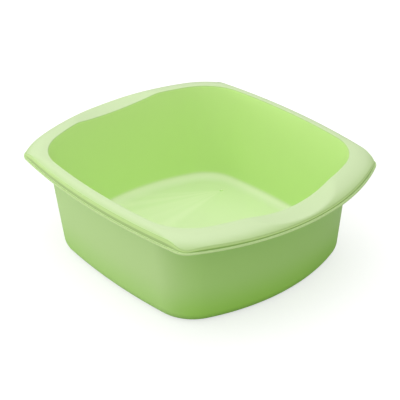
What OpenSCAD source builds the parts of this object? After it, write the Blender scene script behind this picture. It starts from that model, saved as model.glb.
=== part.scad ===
// Washing up bowl, moulded in one piece: a leaning basin with bowed sides, a rolled rim that widens
// into a handle at each end, a short upright skirt under the roll and a thin lip along its edge.
// Origin at the middle of the base, +Z up, +X towards a handle end. Millimetres.

/* [Basin] */
// Length of the outer wall carried down to the table, from handle end to handle end
base_l = 299; // [294:1:304]
// Width of the outer wall carried down to the table, from long side to long side
base_w = 270; // [266:1:274]
// Radius of the upright corners at the table
corner_r = 53; // [48:1:58]
// Height of the rim's top above the table
bowl_h = 132.5; // [131:0.5:136]
// How far the wall leans out for each millimetre of height
draft = 0.1; // [0.08:0.01:0.11]
// Outside radius where the wall turns into the base
foot_r = 16; // [10:1:20]
// Thickness of the moulding
wall = 2; // [1.6:0.1:2.4]

/* [Rim] */
// Length over the lip, from handle end to handle end
rim_l = 384; // [380:1:388]
// Width over the lip, from long side to long side
rim_w = 322.24; // [320:0.01:325]
// Radius of the lip's corners
rim_corner_r = 20.4; // [16:0.1:22]
// Height of the rim's lower edge above the table
rim_z = 117.8; // [114:0.1:118.5]
// Width of the lip beyond the skirt
lip_w = 2; // [1.5:0.1:2.5]
// Thickness of the lip
lip_t = 2; // [1:0.1:2.2]
// Radius of the edge between the inner wall and the roll
edge_r = 1.6; // [1:0.1:1.9]
// Radius of the roll's broad top
roll_r = 51.25; // [50:0.25:54]
// Radius of the roll where it turns down towards the skirt
turn_r = 28.75; // [25:0.25:32]
// Radius of the roll's edge along the long sides
side_roll_r = 17; // [15:0.5:20]
// Width of that edge, from the roll's top to the skirt
side_roll_w = 11; // [10:0.1:11.2]

/* [Hand scoops] */
// Depth of the scoop in the middle of each handle
scoop_d = 7; // [4:0.5:8]
// Length of the scoop along the handle, at the top of the rim
scoop_l = 124; // [90:1:130]

/* [Hidden] */
$fn = 180;
// An outline is half its length, half its width, its corner radius, and two right triangles. The
// triangles give the slopes of the lines on which a corner's arc meets the arc of the handle end and
// the arc of the long side: the side across the bowl or along it, the long side, the hypotenuse.
// Whole numbers keep the centres of the arcs on round coordinates, where neighbours meet exactly.
WALL_LINE = [base_l / 2, base_w / 2, corner_r, [5, 12, 13], [36, 323, 325]];
LIP_LINE = [rim_l / 2, rim_w / 2, rim_corner_r, [33, 56, 65], [24, 143, 145]];
// Sine and cosine of the slope at which the roll's broad top turns down, from a right triangle
ROLL_TURN = [44, 117] / 125;
// Length of the leaning wall for each millimetre of height
lean = sqrt(1 + draft * draft);
// Distance of the centre of the round foot from the outline
foot_x = -foot_r * (lean - draft);
// Distance of the roll's crest from the outline
crest_x = draft * bowl_h - wall * lean + edge_r * (lean - draft);
// Radius of the scoop's round bottom
scoop_r = (scoop_d * scoop_d + scoop_l * scoop_l / 4) / (2 * scoop_d);
// How far a straight dips into the arc that it runs into, so that the two cross cleanly
dip = 0.01;
// How far a cutting solid reaches past what it cuts
over = 1;
// Width of the bands that the outlines are filled with, inwards
band = 50;

// Centre of the corner's arc
function corner_centre(line) =
    let (
        end_bow = (line[3][2] - line[3][1]) / line[3][0],
        side_bow = (line[4][2] - line[4][1]) / line[4][0],
        l = line[0] - line[2],
        w = line[1] - line[2],
        x = (l - end_bow * w) / (1 - end_bow * side_bow)
    )
    [x, w - side_bow * x];

// Centres and radii of the arcs of the handle end and of the long side
function end_centre(line) =
    let (corner = corner_centre(line))
    [corner.x - corner.y * line[3][1] / line[3][0], 0];
function side_centre(line) =
    let (corner = corner_centre(line))
    [0, corner.y - corner.x * line[4][1] / line[4][0]];
function end_radius(line) = line[0] - end_centre(line).x;
function side_radius(line) = line[1] - side_centre(line).y;

// Sweeps a section once round an outline. In the section, x is the distance outwards from the
// outline and y is the height. Each arc is a revolve about its own centre, kept to its own wedge.
module around(line) {
    corner = corner_centre(line);
    end = end_centre(line);
    side = side_centre(line);
    end_far = end + 2 * (corner - end);
    side_far = side + 1.2 * (corner - side);
    for (turn = [0, 180]) rotate([0, 0, turn]) {
        arc(end, end_radius(line), [end, end_far, [end_far.x, -end_far.y]]) children();
        arc(side, side_radius(line), [side, side_far, [-side_far.x, side_far.y]]) children();
        for (flip = [0, 1]) mirror([flip, 0, 0])
            arc(corner, line[2], [corner, end_far, [end_far.x, side_far.y], side_far]) children();
    }
}

// One arc of an outline: the section revolved about a centre, in finer steps on a long arc, and
// kept inside a wedge
module arc(centre, r, wedge) {
    intersection() {
        translate([centre.x, centre.y, 0])
            rotate_extrude($fn = r > 2 * band ? 4 * $fn : $fn) intersection() {
                translate([r, 0]) children();
                translate([0, -over]) square([r + band, bowl_h + 3 * over]);
            }
        translate([0, 0, -2 * over]) linear_extrude(bowl_h + 5 * over) polygon(wedge);
    }
}

// Section of the basin's mass, drawn in by a depth: the floor, the round foot and the leaning wall
module basin_section(depth, top) {
    r = foot_r - depth;
    polygon([
        [-2 * foot_r, depth], [foot_x, depth], [foot_x, foot_r],
        [foot_x + (r - dip) / lean, foot_r - (r - dip) * draft / lean],
        [draft * top - depth * lean, top], [-2 * foot_r, top]
    ]);
    translate([foot_x, foot_r]) circle(r);
}

// Basin up to the rim's lower edge, and the flat floor inside its foot
module basin() {
    around(WALL_LINE) difference() {
        basin_section(0, rim_z);
        basin_section(wall, rim_z + over);
    }
    inset = 1.5 * foot_r;
    linear_extrude(wall) intersection_for(turn = [0, 180]) rotate([0, 0, turn]) intersection() {
        translate(end_centre(WALL_LINE)) circle(end_radius(WALL_LINE) - inset, $fn = 4 * $fn);
        translate(side_centre(WALL_LINE)) circle(side_radius(WALL_LINE) - inset, $fn = 4 * $fn);
    }
}

// Region under the roll's top, drawn in by a depth, between a leaning left side and the open right
module roll_section(depth, low, left_low, left_high) {
    high = bowl_h + over;
    slope = ROLL_TURN[0] / ROLL_TURN[1];
    split_low = crest_x + (low - bowl_h + roll_r) * slope;
    split_high = crest_x + (high - bowl_h + roll_r) * slope;
    intersection() {
        translate([crest_x, bowl_h - roll_r]) circle(roll_r - depth);
        polygon([[left_low, low], [left_high, high], [split_high, high], [split_low, low]]);
    }
    intersection() {
        translate([crest_x, bowl_h - roll_r] + (roll_r - turn_r) * ROLL_TURN) circle(turn_r - depth);
        polygon([[split_low, low], [split_high, high], [band, high], [band, low]]);
    }
}

// Section of the rim's mass: the inner wall's last stretch, its round edge and the roll
module rim_section() {
    edge_z = bowl_h - edge_r;
    polygon([
        [draft * rim_z - wall * lean, rim_z],
        [crest_x - (edge_r - dip) / lean, edge_z + (edge_r - dip) * draft / lean],
        [crest_x, edge_z], [crest_x, rim_z]
    ]);
    intersection() {
        translate([crest_x, edge_z]) circle(edge_r);
        translate([crest_x - 2 * edge_r, edge_z]) square([2 * edge_r, 2 * edge_r]);
    }
    roll_section(0, rim_z, crest_x, crest_x);
}

// Mass inside the skirt's face, drawn in by a depth, with the side roll along its upper edge
module skirt_mass(depth, low) {
    turn_x = -lip_w - side_roll_w;
    turn_z = bowl_h - side_roll_r;
    around(LIP_LINE) {
        translate([-band, low]) square([band + turn_x, bowl_h + over - low]);
        if (turn_z > low) translate([-band, low]) square([band - lip_w - depth, turn_z - low]);
        intersection() {
            translate([turn_x, turn_z]) circle(side_roll_r - depth);
            translate([turn_x, low]) square([side_roll_w - depth, bowl_h + over - low]);
        }
    }
}

// Round dip across both handles, drawn in by a depth
module scoops(depth) {
    translate([-rim_l / 2 - over, 0, bowl_h - scoop_d + scoop_r]) rotate([0, 90, 0])
        cylinder(r = scoop_r + depth, h = rim_l + 2 * over);
}

// Rim: the roll and the skirt, hollow and open below, with the thin lip along the skirt's edge
module rim() {
    low = rim_z - over;
    difference() {
        intersection() {
            around(WALL_LINE) rim_section();
            skirt_mass(0, rim_z);
        }
        scoops(0);
        difference() {
            intersection() {
                around(WALL_LINE) roll_section(wall, low, draft * low, draft * (bowl_h + over));
                skirt_mass(wall, low);
            }
            scoops(wall);
        }
    }
    around(LIP_LINE) translate([-lip_w - wall / 2, rim_z]) square([lip_w + wall / 2, lip_t]);
}

module bowl() {
    color("#cdeaa4") {
        basin();
        rim();
    }
}

bowl();
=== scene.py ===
import math

import bmesh
import bpy
from mathutils import Matrix, Vector


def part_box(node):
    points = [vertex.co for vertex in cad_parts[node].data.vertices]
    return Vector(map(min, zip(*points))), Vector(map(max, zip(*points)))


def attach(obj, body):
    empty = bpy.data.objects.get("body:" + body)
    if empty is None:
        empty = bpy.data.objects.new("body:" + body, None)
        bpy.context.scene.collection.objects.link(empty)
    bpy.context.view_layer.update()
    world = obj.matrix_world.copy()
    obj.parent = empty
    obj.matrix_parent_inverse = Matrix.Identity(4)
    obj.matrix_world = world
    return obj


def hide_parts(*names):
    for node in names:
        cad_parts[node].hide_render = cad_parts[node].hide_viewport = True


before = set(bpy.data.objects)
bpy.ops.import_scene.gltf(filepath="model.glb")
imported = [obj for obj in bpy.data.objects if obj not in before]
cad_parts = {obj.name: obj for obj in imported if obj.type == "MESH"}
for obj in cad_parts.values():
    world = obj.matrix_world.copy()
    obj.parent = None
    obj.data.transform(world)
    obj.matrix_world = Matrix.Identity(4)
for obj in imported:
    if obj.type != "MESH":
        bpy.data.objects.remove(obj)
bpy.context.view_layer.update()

# Bowl
# The whole bowl is one injection moulding in light green polypropylene, 2 mm thick. The basin's two
# skins and the skirt with its lip are swept sections; the rolled rim is bridged between them and
# then pressed to the roll's shape, lower at the hand scoops. Its creases are rounded as the mould's.

# Sizes, in metres. Length, width and height come from the CAD node; the rest repeats the driving
# sizes of the CAD source.
MM = 0.001
low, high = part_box("bowl")
RIM_L = high.x - low.x
RIM_W = high.y - low.y
HEIGHT = high.z
BASE_L = 299 * MM
BASE_W = 270 * MM
CORNER_R = 53 * MM
DRAFT = 0.1
FOOT_R = 16 * MM
WALL = 2 * MM
RIM_CORNER_R = 20.4 * MM
RIM_Z = 117.8 * MM
LIP_W = 2 * MM
LIP_T = 2 * MM
EDGE_R = 1.6 * MM
ROLL_R = 51.25 * MM
TURN_R = 28.75 * MM
SIDE_ROLL_R = 17 * MM
SIDE_ROLL_W = 11 * MM
SCOOP_D = 7 * MM
SCOOP_L = 124 * MM

# The roll turns down where its slope has this sine, on a right triangle of 44, 117 and 125
TURN_SIN, TURN_COS = 44 / 125, 117 / 125
LEAN = math.hypot(1, DRAFT)
LEAN_ANGLE = math.degrees(math.atan(DRAFT))
FOOT_X = -FOOT_R * (LEAN - DRAFT)
CREST_X = DRAFT * HEIGHT - WALL * LEAN + EDGE_R * (LEAN - DRAFT)
SCOOP_R = (SCOOP_D**2 + SCOOP_L**2 / 4) / (2 * SCOOP_D)

# Roundings that only this model has: the roll's creases, the skirt's upper edge and the lip's edges
SOFT_CREASE = 0.9 * MM
SCOOP_CREASE = 1.5 * SOFT_CREASE
SKIRT_ROUND = 1.2 * MM
LIP_ROUND = 0.4 * MM

# Steps along half a handle end, a corner and half a long side, and across the parts of a section
END_STEPS, CORNER_STEPS, SIDE_STEPS = 76, 36, 56
INNER_FOOT_STEPS, OUTER_FOOT_STEPS, WALL_STEPS, EDGE_STEPS = 10, 12, 7, 6
ROLL_CUTS, UNDER_CUTS = 26, 9


class Outline:
    """The line that a section is swept along, seen from above: two handle ends, two long sides and
    four corners, each an arc."""

    def __init__(self, length, width, corner_r, end_bow, side_bow):
        # A bow is a right triangle: the slope at which the corner's arc meets the longer one
        half_l, half_w = length / 2 - corner_r, width / 2 - corner_r
        end_part = (end_bow[2] - end_bow[1]) / end_bow[0]
        side_part = (side_bow[2] - side_bow[1]) / side_bow[0]
        x = (half_l - end_part * half_w) / (1 - end_part * side_part)
        y = half_w - side_part * x
        self.half_l = length / 2
        self.corner = Vector((x, y, 0))
        self.corner_r = corner_r
        self.end = Vector((x - y * end_bow[1] / end_bow[0], 0, 0))
        self.side = Vector((0, y - x * side_bow[1] / side_bow[0], 0))
        self.end_r = length / 2 - self.end.x
        self.side_r = width / 2 - self.side.y
        self.end_angle = math.atan2(end_bow[0], end_bow[1])
        self.side_angle = math.atan2(side_bow[0], side_bow[1])

    def sweep(self, bm, geom):
        """Carries a section, drawn above the +X axis, along a quarter of the line, to the +Y axis."""
        corner_angle = math.pi / 2 - self.end_angle - self.side_angle
        arcs = (
            (self.end, self.end_angle, END_STEPS),
            (self.corner, corner_angle, CORNER_STEPS),
            (self.side, self.side_angle, SIDE_STEPS),
        )
        for centre, angle, steps in arcs:
            made = bmesh.ops.spin(
                bm, geom=geom, cent=centre, axis=(0, 0, 1), angle=angle, steps=steps, use_merge=False
            )
            geom = made["geom_last"]

    def offset(self, x, y):
        """Distance of a point outwards from the line."""
        x, y = abs(x), abs(y)
        if math.atan2(y, x - self.end.x) < self.end_angle:
            return math.hypot(x - self.end.x, y) - self.end_r
        if math.atan2(x, y - self.side.y) < self.side_angle:
            return math.hypot(x, y - self.side.y) - self.side_r
        return math.hypot(x - self.corner.x, y - self.corner.y) - self.corner_r


wall_line = Outline(BASE_L, BASE_W, CORNER_R, (5, 12, 13), (36, 323, 325))
lip_line = Outline(RIM_L, RIM_W, RIM_CORNER_R, (33, 56, 65), (24, 143, 145))


def soft_min(a, b, blend=SOFT_CREASE):
    """The lower of two heights, rounded off where they cross."""
    near = max(blend - abs(a - b), 0) / blend
    return min(a, b) - near * near * blend / 4


def scoop_height(y, depth=0):
    """Height of the scoop's round bottom across a handle."""
    return HEIGHT - SCOOP_D + SCOOP_R - math.sqrt((SCOOP_R + depth) ** 2 - y * y)


def roll_height(x, y, depth):
    """Height of the rolled rim above a point of the plan, drawn in by a depth."""
    d = wall_line.offset(x, y) - CREST_X
    if d < ROLL_R * TURN_SIN:
        roll = HEIGHT - ROLL_R + math.sqrt((ROLL_R - depth) ** 2 - min(d, ROLL_R - depth) ** 2)
    else:
        out = d - (ROLL_R - TURN_R) * TURN_SIN
        drop = ROLL_R - (ROLL_R - TURN_R) * TURN_COS
        roll = HEIGHT - drop + math.sqrt(max((TURN_R - depth) ** 2 - out * out, 0))
    edge = max(lip_line.offset(x, y) + LIP_W + SIDE_ROLL_W, 0)
    side = HEIGHT - SIDE_ROLL_R + math.sqrt((SIDE_ROLL_R - depth) ** 2 - edge * edge)
    height = soft_min(roll, side)
    if abs(x) > wall_line.corner.x and abs(y) < SCOOP_L:
        height = soft_min(height, scoop_height(y, depth), SCOOP_CREASE)
    return height


def arc_points(x, z, r, start, end, steps):
    """Points on an arc of a section, between two angles in degrees from the outward direction."""
    turns = [math.radians(start + (end - start) * k / steps) for k in range(steps + 1)]
    return [(x + r * math.cos(t), z + r * math.sin(t)) for t in turns]


def straight_points(start, end, steps):
    """Points on a straight of a section, without its start."""
    return [
        tuple(a + (b - a) * k / steps for a, b in zip(start, end)) for k in range(1, steps + 1)
    ]


def sweep_section(bm, line, points, marks):
    """Sweeps a chain of offsets and heights round a line. Marks number some of its rings."""
    verts = [bm.verts.new((line.half_l + x, 0, z)) for x, z in points]
    edges = [bm.edges.new(pair) for pair in zip(verts, verts[1:])]
    for number, at in marks.items():
        verts[at][bm.verts.layers.int["mark"]] = number
    line.sweep(bm, verts + edges)


def ring(bm, number):
    """The edges of a marked ring."""
    mark = bm.verts.layers.int["mark"]
    return [e for e in bm.edges if e.verts[0][mark] == number == e.verts[1][mark]]


def span(bm, inner, outer, cuts, depth):
    """Bridges two rings, cuts the bridge and presses it to the roll."""
    bridge = bmesh.ops.bridge_loops(bm, edges=inner + outer)
    ties = {e for f in bridge["faces"] for e in f.edges} - set(inner) - set(outer)
    made = bmesh.ops.subdivide_edges(bm, edges=list(ties), cuts=cuts, use_grid_fill=True)
    pressed = {v for v in made["geom_inner"] if isinstance(v, bmesh.types.BMVert)}
    for v in pressed:
        v[bm.verts.layers.int["mark"]] = 0
    for v in pressed | {v for e in outer for v in e.verts}:
        v.co.z = roll_height(v.co.x, v.co.y, depth)


FLOOR, CREST, BASE, HOLLOW, SKIRT, INSIDE, LIP_TOP, LIP_LOW = range(1, 9)
bm = bmesh.new()
bm.verts.layers.int.new("mark")

# Inner skin: floor's edge, round foot, leaning wall, round edge up to the crest of the roll
edge_z = HEIGHT - EDGE_R
foot_points = arc_points(FOOT_X, FOOT_R, FOOT_R - WALL, -90, -LEAN_ANGLE, INNER_FOOT_STEPS)
edge_points = arc_points(CREST_X, edge_z, EDGE_R, 180 - LEAN_ANGLE, 90, EDGE_STEPS)
wall_points = straight_points(foot_points[-1], edge_points[0], WALL_STEPS)
sweep_section(bm, wall_line, foot_points + wall_points + edge_points[1:], {FLOOR: 0, CREST: -1})

# Outer skin: round foot and leaning wall up to the hollow under the roll
hollow_z = HEIGHT - WALL
foot_points = arc_points(FOOT_X, FOOT_R, FOOT_R, -90, -LEAN_ANGLE, OUTER_FOOT_STEPS)
wall_points = straight_points(foot_points[-1], (DRAFT * hollow_z, hollow_z), WALL_STEPS)
sweep_section(bm, wall_line, foot_points + wall_points, {BASE: 0, HOLLOW: -1})

# Skirt and lip: down the skirt's face, out along the lip, round it and up inside the skirt. The
# bridges press the skirt's two upper rings to the roll, so they only have to start near it.
near_roll_z = HEIGHT - 9 * MM
lip_z = RIM_Z + LIP_T
skirt_points = [(-LIP_W, near_roll_z), (-LIP_W, lip_z), (0, lip_z), (0, RIM_Z)]
skirt_points += [(-LIP_W - WALL, RIM_Z), (-LIP_W - WALL, near_roll_z - WALL)]
sweep_section(bm, lip_line, skirt_points, {SKIRT: 0, LIP_TOP: 2, LIP_LOW: 3, INSIDE: -1})

rings = {number: ring(bm, number) for number in (CREST, SKIRT, HOLLOW, INSIDE)}

# The scoops lower the inner edge too: the wall's last stretch slides down its own slope
for v in bm.verts:
    at_handle = v.co.z > RIM_Z and abs(v.co.x) > wall_line.corner.x
    if at_handle and wall_line.offset(v.co.x, v.co.y) < CREST_X + WALL:
        drop = HEIGHT - soft_min(HEIGHT, scoop_height(v.co.y), SCOOP_CREASE)
        slide = drop * min((v.co.z - RIM_Z) / (edge_z - RIM_Z), 1)
        centre = wall_line.end * math.copysign(1, v.co.x)
        out = Vector((v.co.x - centre.x, v.co.y, 0)).normalized()
        v.co.z -= slide
        v.co -= out * slide * DRAFT

span(bm, rings[CREST], rings[SKIRT], ROLL_CUTS, 0)
span(bm, rings[HOLLOW], rings[INSIDE], UNDER_CUTS, WALL)

# The other three quarters mirror the first
MERGE = 0.01 * MM
for axis in ("X", "Y"):
    quarters = list(bm.verts) + list(bm.edges) + list(bm.faces)
    bmesh.ops.mirror(bm, geom=quarters, merge_dist=MERGE, axis=axis)
rings = {number: ring(bm, number) for number in range(FLOOR, LIP_LOW + 1)}
for flat in (FLOOR, BASE):
    bmesh.ops.edgeloop_fill(bm, edges=rings[flat])
bmesh.ops.recalc_face_normals(bm, faces=bm.faces)
bevels = ((rings[SKIRT], SKIRT_ROUND, 3), (rings[LIP_TOP] + rings[LIP_LOW], LIP_ROUND, 2))
for edges, width, segments in bevels:
    bmesh.ops.bevel(
        bm, geom=edges, offset=width, segments=segments, profile=0.5, affect="EDGES", material=-1
    )
for f in bm.faces:
    f.smooth = True
mesh = bpy.data.meshes.new("bowl_moulding")
bm.to_mesh(mesh)
bm.free()
SHARP_ANGLE = math.radians(50)
mesh.set_sharp_from_angle(angle=SHARP_ANGLE)

# The way that the surface faces at each corner of its faces, for the plastic's painted light and
# shade
corner_facings = [part for normal in mesh.corner_normals for part in normal.vector]
mesh.attributes.new("facing", "FLOAT_VECTOR", "CORNER").data.foreach_set("vector", corner_facings)

bowl = bpy.data.objects.new("bowl_moulding", mesh)
bpy.context.scene.collection.objects.link(bowl)
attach(bowl, "root")
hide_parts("bowl")


class Sock:
    """A shader socket that can be added to, multiplied and so on with plain operators."""

    def __init__(self, maker, socket):
        self.maker = maker
        self.socket = socket

    def _math(self, kind, *values):
        return self.maker.node("ShaderNodeMath", {"operation": kind}, dict(enumerate(values)))

    def __add__(self, other):
        return self._math("ADD", self, other)

    def __sub__(self, other):
        return self._math("SUBTRACT", self, other)

    def __rsub__(self, other):
        return self._math("SUBTRACT", other, self)

    def __mul__(self, other):
        return self._math("MULTIPLY", self, other)

    __radd__ = __add__
    __rmul__ = __mul__

    def maximum(self, other):
        return self._math("MAXIMUM", self, other)

    def angle_from(self, other):
        """Angle of the point whose height is this socket and whose run is the other."""
        return self._math("ARCTAN2", self, other)

    def ramp(self, start, end):
        """0 at the start, 1 at the end, a smooth change between them."""
        settings = {"interpolation_type": "SMOOTHSTEP"}
        return self.maker.node("ShaderNodeMapRange", settings, {0: self, 1: start, 2: end})

    def distance_ramp(self, start, end):
        """0 near zero, 1 further off to either side."""
        return self._math("ABSOLUTE", self).ramp(start, end)


class Maker:
    """Adds nodes to one tree."""

    def __init__(self, tree):
        self.tree = tree
        tree.nodes.clear()

    def node(self, kind, settings=None, inputs=None, output=0):
        made = self.tree.nodes.new(kind)
        for name, value in (settings or {}).items():
            setattr(made, name, value)
        for name, value in (inputs or {}).items():
            if isinstance(value, Sock):
                self.tree.links.new(value.socket, made.inputs[name])
            else:
                made.inputs[name].default_value = value
        return Sock(self, made.outputs[output]) if len(made.outputs) else made

    def mix(self, factor, a, b):
        """Mix of two colours."""
        return self.node("ShaderNodeMix", {"data_type": "RGBA"}, {0: factor, 6: a, 7: b}, output=2)

    def split(self, vector):
        """The three parts of a vector."""
        first = self.node("ShaderNodeSeparateXYZ", None, {"Vector": vector})
        return [Sock(self, socket) for socket in first.socket.node.outputs]

    def place(self):
        """The point of the object that is shaded."""
        return self.node("ShaderNodeTexCoord", output=3)

    def satin(self, colour, roughness, bump=None):
        """The plastic's surface, as the tree's output."""
        inputs = {"Base Color": colour, "Roughness": roughness, "IOR": PLASTIC_IOR}
        if bump:
            inputs["Normal"] = bump
        surface = self.node("ShaderNodeBsdfPrincipled", None, inputs)
        self.node("ShaderNodeOutputMaterial", None, {"Surface": surface})


def linear(red, green, blue):
    """A screen colour, 0 to 255, as the renderer's linear colour."""
    parts = []
    for value in (red, green, blue):
        c = value / 255
        parts.append(c / 12.92 if c <= 0.04045 else ((c + 0.055) / 1.055) ** 2.4)
    return (*parts, 1)


def new_material(name):
    material = bpy.data.materials.new(name)
    material.use_nodes = True
    return material, Maker(material.node_tree)


# Plastic. It is one green all through and lets a little light in. Its colour goes by height and by
# the way that the surface faces, and so carries painted light and shade: a painted sheen on the tops
# and the floor, painted highlights on the floor's round edge and the lip's edge, painted bounce light
# on the inner walls and at the foot, and painted shade on the roll's slopes, the handle ends and the
# skirt under the roll. The tool leaves a fine satin grain.
PLASTIC_IOR = 1.49
SATIN = 0.34
OUTSIDE = linear(203, 238, 157)
# Painted shade: the outside of the handle ends, which the light reaches less
PAINTED_END_SHADE = linear(190, 238, 133)
# Painted light: the inner walls lighter, for the light that bounces round inside the basin
INSIDE_WALL_LIT = linear(209, 242, 155)
# Painted shade on the slopes of the roll and the scoops
SLOPE_SHADE = linear(185, 217, 140)
# Painted sheen on the rim's top
TOP_SHEEN = linear(212, 234, 181)
# Painted sheen on the floor
FLOOR_SHEEN = linear(225, 244, 194)
# Painted highlight on the floor's round edge, along the floor's light streaks and on the pip's top
FLOOR_HIGHLIGHT = linear(240, 252, 214)
# Painted bounce light: a deeper green on the outside towards the foot
FOOT_BOUNCE_GREEN = linear(175, 236, 95)
# Painted shade on the skirt under the roll, deeper at the handle ends
BAND_SHADE = linear(178, 209, 134)
BAND_SHADE_END = linear(142, 186, 84)
# Painted highlight on the lip's edge
LIP_HIGHLIGHT = linear(240, 252, 208)

# Heights between which one shade gives way to the next, over the table or over the rim's lower edge
FOOT_FADE = (60 * MM, 0)
FLOOR_FADE = (30 * MM, 20 * MM)
TOP_FADE = (20 * MM, 100 * MM)
LIP_FADE = (1.8 * MM, 3 * MM)
BAND_FADE = (5.6 * MM, 7 * MM)
LIP_REACH = (1.2 * MM, 2.2 * MM)

# The same for the way that the surface faces, which is 1 for straight up, -1 for straight down, and
# for the ends 1 for straight along the bowl
END_FADE = (0.1, 1.0)
WALL_FADE = (-DRAFT, DRAFT)
SLOPE_FADE = (0.2, 0.5)
UPRIGHT_FADE = (0.03, 0.08)
CROWN_FADE = (0.65, 1.0)
FLOOR_EDGE_FADE = (DRAFT, 0.5)
FLOOR_ROUND_FADE = (0.97, 0.6)

# The painted streaks of reflected light on the floor fan out from the pip about this direction, in
# radians from the +X axis
PIP_X, PIP_Y = -81 * MM, 106 * MM
FAN_ANGLE = -1.75
FAN_FADE = (0.2, 0.7)
STREAK_SCALE = 3.4
STREAK_FADE = (0.3, 0.65)
STREAK_STRENGTH = 0.65

# Slow clouds in the colour, and the fine grain of the tool
CLOUD_SCALE = 9.0
GRAIN_SCALE = 1400.0
GRAIN_STRENGTH = 0.08
GRAIN_DEPTH = 0.1 * MM

plastic, make = new_material("green_polypropylene")
place = make.place()
along, across, height = make.split(place)
facing = make.node("ShaderNodeAttribute", {"attribute_name": "facing"}, output=1)
facing = make.node("ShaderNodeVectorMath", {"operation": "NORMALIZE"}, {0: facing})
endward, _, upward = make.split(facing)
endward = endward.distance_ramp(*END_FADE)
cloud = make.node("ShaderNodeTexNoise", None, {"Vector": place, "Scale": CLOUD_SCALE, "Detail": 3.0})
grain = make.node("ShaderNodeTexNoise", None, {"Vector": place, "Scale": GRAIN_SCALE, "Detail": 2.0})

# Walls: on the outside a painted shade at the handle ends and a painted deeper green bounce light
# towards the foot, on the inside a lighter painted bounce light, and a painted shade on the slopes of
# the roll and the scoops between walls and tops
outside = make.mix(endward, OUTSIDE, PAINTED_END_SHADE)
foot = height.ramp(*FOOT_FADE) * (cloud * 0.4 + 0.8) * (endward * 0.5 + 0.5)
outside = make.mix(foot, outside, FOOT_BOUNCE_GREEN)
walls = make.mix(upward.ramp(*WALL_FADE), outside, INSIDE_WALL_LIT)
walls = make.mix(upward.ramp(*SLOPE_FADE), walls, SLOPE_SHADE)

# Band: a painted shade on the skirt under the roll, and a painted highlight on the lip's edge below
# it. They alone stand upright, because the walls lean.
over_rim_z = height - RIM_Z
band = make.mix(endward, BAND_SHADE, BAND_SHADE_END)
band = make.mix(over_rim_z.ramp(*LIP_FADE), LIP_HIGHLIGHT, band)
off_band = over_rim_z.ramp(*BAND_FADE).maximum(upward.distance_ramp(*UPRIGHT_FADE))
walls = make.mix(off_band, band, walls)

# Tops: a painted sheen, strongest as a painted highlight on the floor's round edge and along the
# painted streaks of reflected light that fan out from the pip
swirl = (across - PIP_Y).angle_from(along - PIP_X)
fan = 1 - (swirl - FAN_ANGLE).distance_ramp(*FAN_FADE)
light_streak = make.node(
    "ShaderNodeTexNoise", {"noise_dimensions": "1D"}, {"W": swirl, "Scale": STREAK_SCALE, "Detail": 1.0}
)
floor_sheen_tint = make.mix(fan * light_streak.ramp(*STREAK_FADE) * STREAK_STRENGTH, FLOOR_SHEEN, FLOOR_HIGHLIGHT)
floor_sheen_tint = make.mix(upward.ramp(*FLOOR_ROUND_FADE), floor_sheen_tint, FLOOR_HIGHLIGHT)
tops = make.mix(height.ramp(*TOP_FADE), floor_sheen_tint, TOP_SHEEN)
off_lip = (over_rim_z - LIP_T / 2).distance_ramp(*LIP_REACH)
up_sheen_mask = upward.ramp(*CROWN_FADE) * (off_lip * 0.6 + 0.4)
floor_edge_sheen_mask = height.ramp(*FLOOR_FADE) * upward.ramp(*FLOOR_EDGE_FADE)
colour = make.mix(up_sheen_mask.maximum(floor_edge_sheen_mask), walls, tops)

relief = {"Strength": GRAIN_STRENGTH, "Distance": GRAIN_DEPTH, "Height": grain}
bump = make.node("ShaderNodeBump", None, relief)
make.satin(colour, SATIN + 0.06 * cloud + 0.05 * grain, bump)
mesh.materials.append(plastic)

# The CAD node that the moulding stands for has no facing attribute, so its green goes by height
# alone: a painted deeper green bounce light towards the foot and a painted sheen towards the top
plain_plastic, make = new_material("plain_green_polypropylene")
_, _, height = make.split(make.place())
plain_painted_green = make.mix(height.ramp(*FOOT_FADE), OUTSIDE, FOOT_BOUNCE_GREEN)
plain_painted_green = make.mix(height.ramp(RIM_Z, HEIGHT), plain_painted_green, TOP_SHEEN)
make.satin(plain_painted_green, SATIN)
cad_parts["bowl"].data.materials.clear()
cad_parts["bowl"].data.materials.append(plain_plastic)


# Pip
# A small round pip stands on the floor near one corner, where a pin pushed the moulding off its
# tool. It is one with the floor: a shallow dome, sunk a little into it, with a painted shade round
# its foot and the painted floor highlight on its top.

PIP_R = 2.2 * MM
PIP_HEIGHT = 1.4 * MM
PIP_FADE = (0.3 * PIP_HEIGHT, PIP_HEIGHT)
# Painted shade round the pip's foot
PIP_FOOT_SHADE = linear(192, 230, 132)

bm = bmesh.new()
bmesh.ops.create_uvsphere(bm, u_segments=32, v_segments=16, radius=PIP_R)
bmesh.ops.scale(bm, vec=(1, 1, PIP_HEIGHT / PIP_R), verts=bm.verts)
bmesh.ops.translate(bm, vec=(PIP_X, PIP_Y, WALL), verts=bm.verts)
for f in bm.faces:
    f.smooth = True
pip_mesh = bpy.data.meshes.new("floor_pip")
bm.to_mesh(pip_mesh)
bm.free()

pip_plastic, make = new_material("green_pip")
_, _, height = make.split(make.place())
make.satin(make.mix((height - WALL).ramp(*PIP_FADE), PIP_FOOT_SHADE, FLOOR_HIGHLIGHT), SATIN)
pip_mesh.materials.append(pip_plastic)

pip = bpy.data.objects.new("floor_pip", pip_mesh)
bpy.context.scene.collection.objects.link(pip)
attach(pip, "root")


# Studio
# A white paper floor that stays white beyond the bowl's soft shadow, and a white surround. Both are
# brighter to the camera than they are as light on the bowl.

FLOOR_HALF = 3.0
PAPER_SHADE, PAPER_GLOW = 0.5, 0.65
SURROUND_LIGHT, SURROUND_WHITE = 0.6, 1.0

bm = bmesh.new()
bmesh.ops.create_grid(bm, x_segments=2, y_segments=2, size=FLOOR_HALF)
floor_mesh = bpy.data.meshes.new("studio_floor")
bm.to_mesh(floor_mesh)
bm.free()
floor = bpy.data.objects.new("studio_floor", floor_mesh)
bpy.context.scene.collection.objects.link(floor)

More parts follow.
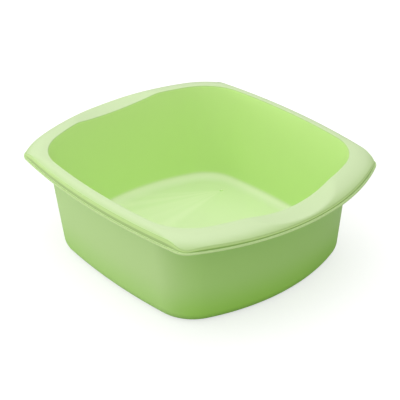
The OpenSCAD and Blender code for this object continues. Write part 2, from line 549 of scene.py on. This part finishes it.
paper, make = new_material("white_paper")
to_camera = make.node("ShaderNodeLightPath")
diffuse = make.node("ShaderNodeBsdfDiffuse", None, {"Color": (*[PAPER_SHADE] * 3, 1)})
glow = make.node("ShaderNodeEmission", None, {"Color": (1, 1, 1, 1), "Strength": to_camera * PAPER_GLOW})
both = make.node("ShaderNodeAddShader", None, {0: diffuse, 1: glow})
make.node("ShaderNodeOutputMaterial", None, {"Surface": both})
floor_mesh.materials.append(paper)

world = bpy.data.worlds.new("white_surround")
bpy.context.scene.world = world
world.use_nodes = True
make = Maker(world.node_tree)
to_camera = make.node("ShaderNodeLightPath")
strength = to_camera * (SURROUND_WHITE - SURROUND_LIGHT) + SURROUND_LIGHT
sky = make.node("ShaderNodeBackground", None, {"Color": (1, 1, 1, 1), "Strength": strength})
make.node("ShaderNodeOutputWorld", None, {"Surface": sky})


# Lights
# Soft boxes all round the side that the photograph shows: large ones above for the rim and the
# floor of the bowl, and low ones at the left for its long side. The handle end is left darker.

MIDDLE = Vector((0, 0, HEIGHT / 2))

# Name, place in metres, side in metres and power in watts of each box
SOFT_BOXES = (
    ("top_box", (-0.2, 0.2, 1.9), 1.6, 9),
    ("key_box", (-1.0, -0.9, 1.5), 1.0, 2),
    ("front_top_box", (0.6, -0.5, 1.7), 1.4, 4.6),
    ("left_box", (-0.9, -1.5, 1.0), 1.0, 2),
    ("low_left_box", (-0.4, -1.8, 0.5), 1.0, 3.5),
    ("far_left_box", (-1.5, -1.0, 0.25), 0.5, 5),
)
for name, place, side, power in SOFT_BOXES:
    lamp = bpy.data.lights.new(name, "AREA")
    lamp.size = side
    lamp.energy = power
    holder = bpy.data.objects.new(name, lamp)
    holder.location = place
    holder.rotation_euler = (Vector(place) - MIDDLE).to_track_quat("Z", "Y").to_euler()
    bpy.context.scene.collection.objects.link(holder)


# Camera
# The photograph's viewpoint: its direction, its slight roll and its distance, from the outlines of
# the base, the rim and the lip.

AZIMUTH = math.radians(50.262)
ELEVATION = math.radians(30.117)
ROLL = math.radians(-1.45)
DISTANCE = 1.4828
AIM_SIDEWAYS = 1.46 * MM
AIM_HEIGHT = 63.7 * MM
LENS_PIXELS = 1236.44
FRAME_PIXELS = 400
SENSOR = 36

right = Vector((math.cos(AZIMUTH), math.sin(AZIMUTH), 0))
level_back = Vector((math.sin(AZIMUTH), -math.cos(AZIMUTH), 0))
back = level_back * math.cos(ELEVATION) + Vector((0, 0, math.sin(ELEVATION)))
up = back.cross(right)
stand = right * AIM_SIDEWAYS + Vector((0, 0, AIM_HEIGHT)) + back * DISTANCE
turned_right = right * math.cos(ROLL) + up * math.sin(ROLL)
turned_up = up * math.cos(ROLL) - right * math.sin(ROLL)
turn = Matrix((turned_right, turned_up, back)).transposed().to_4x4()
camera_data = bpy.data.cameras.new("camera")
camera_data.sensor_width = SENSOR
camera_data.lens = LENS_PIXELS / FRAME_PIXELS * SENSOR
camera = bpy.data.objects.new("camera", camera_data)
camera.matrix_world = Matrix.Translation(stand) @ turn
bpy.context.scene.collection.objects.link(camera)
bpy.context.scene.camera = camera
bpy.context.scene.view_settings.view_transform = "Standard"
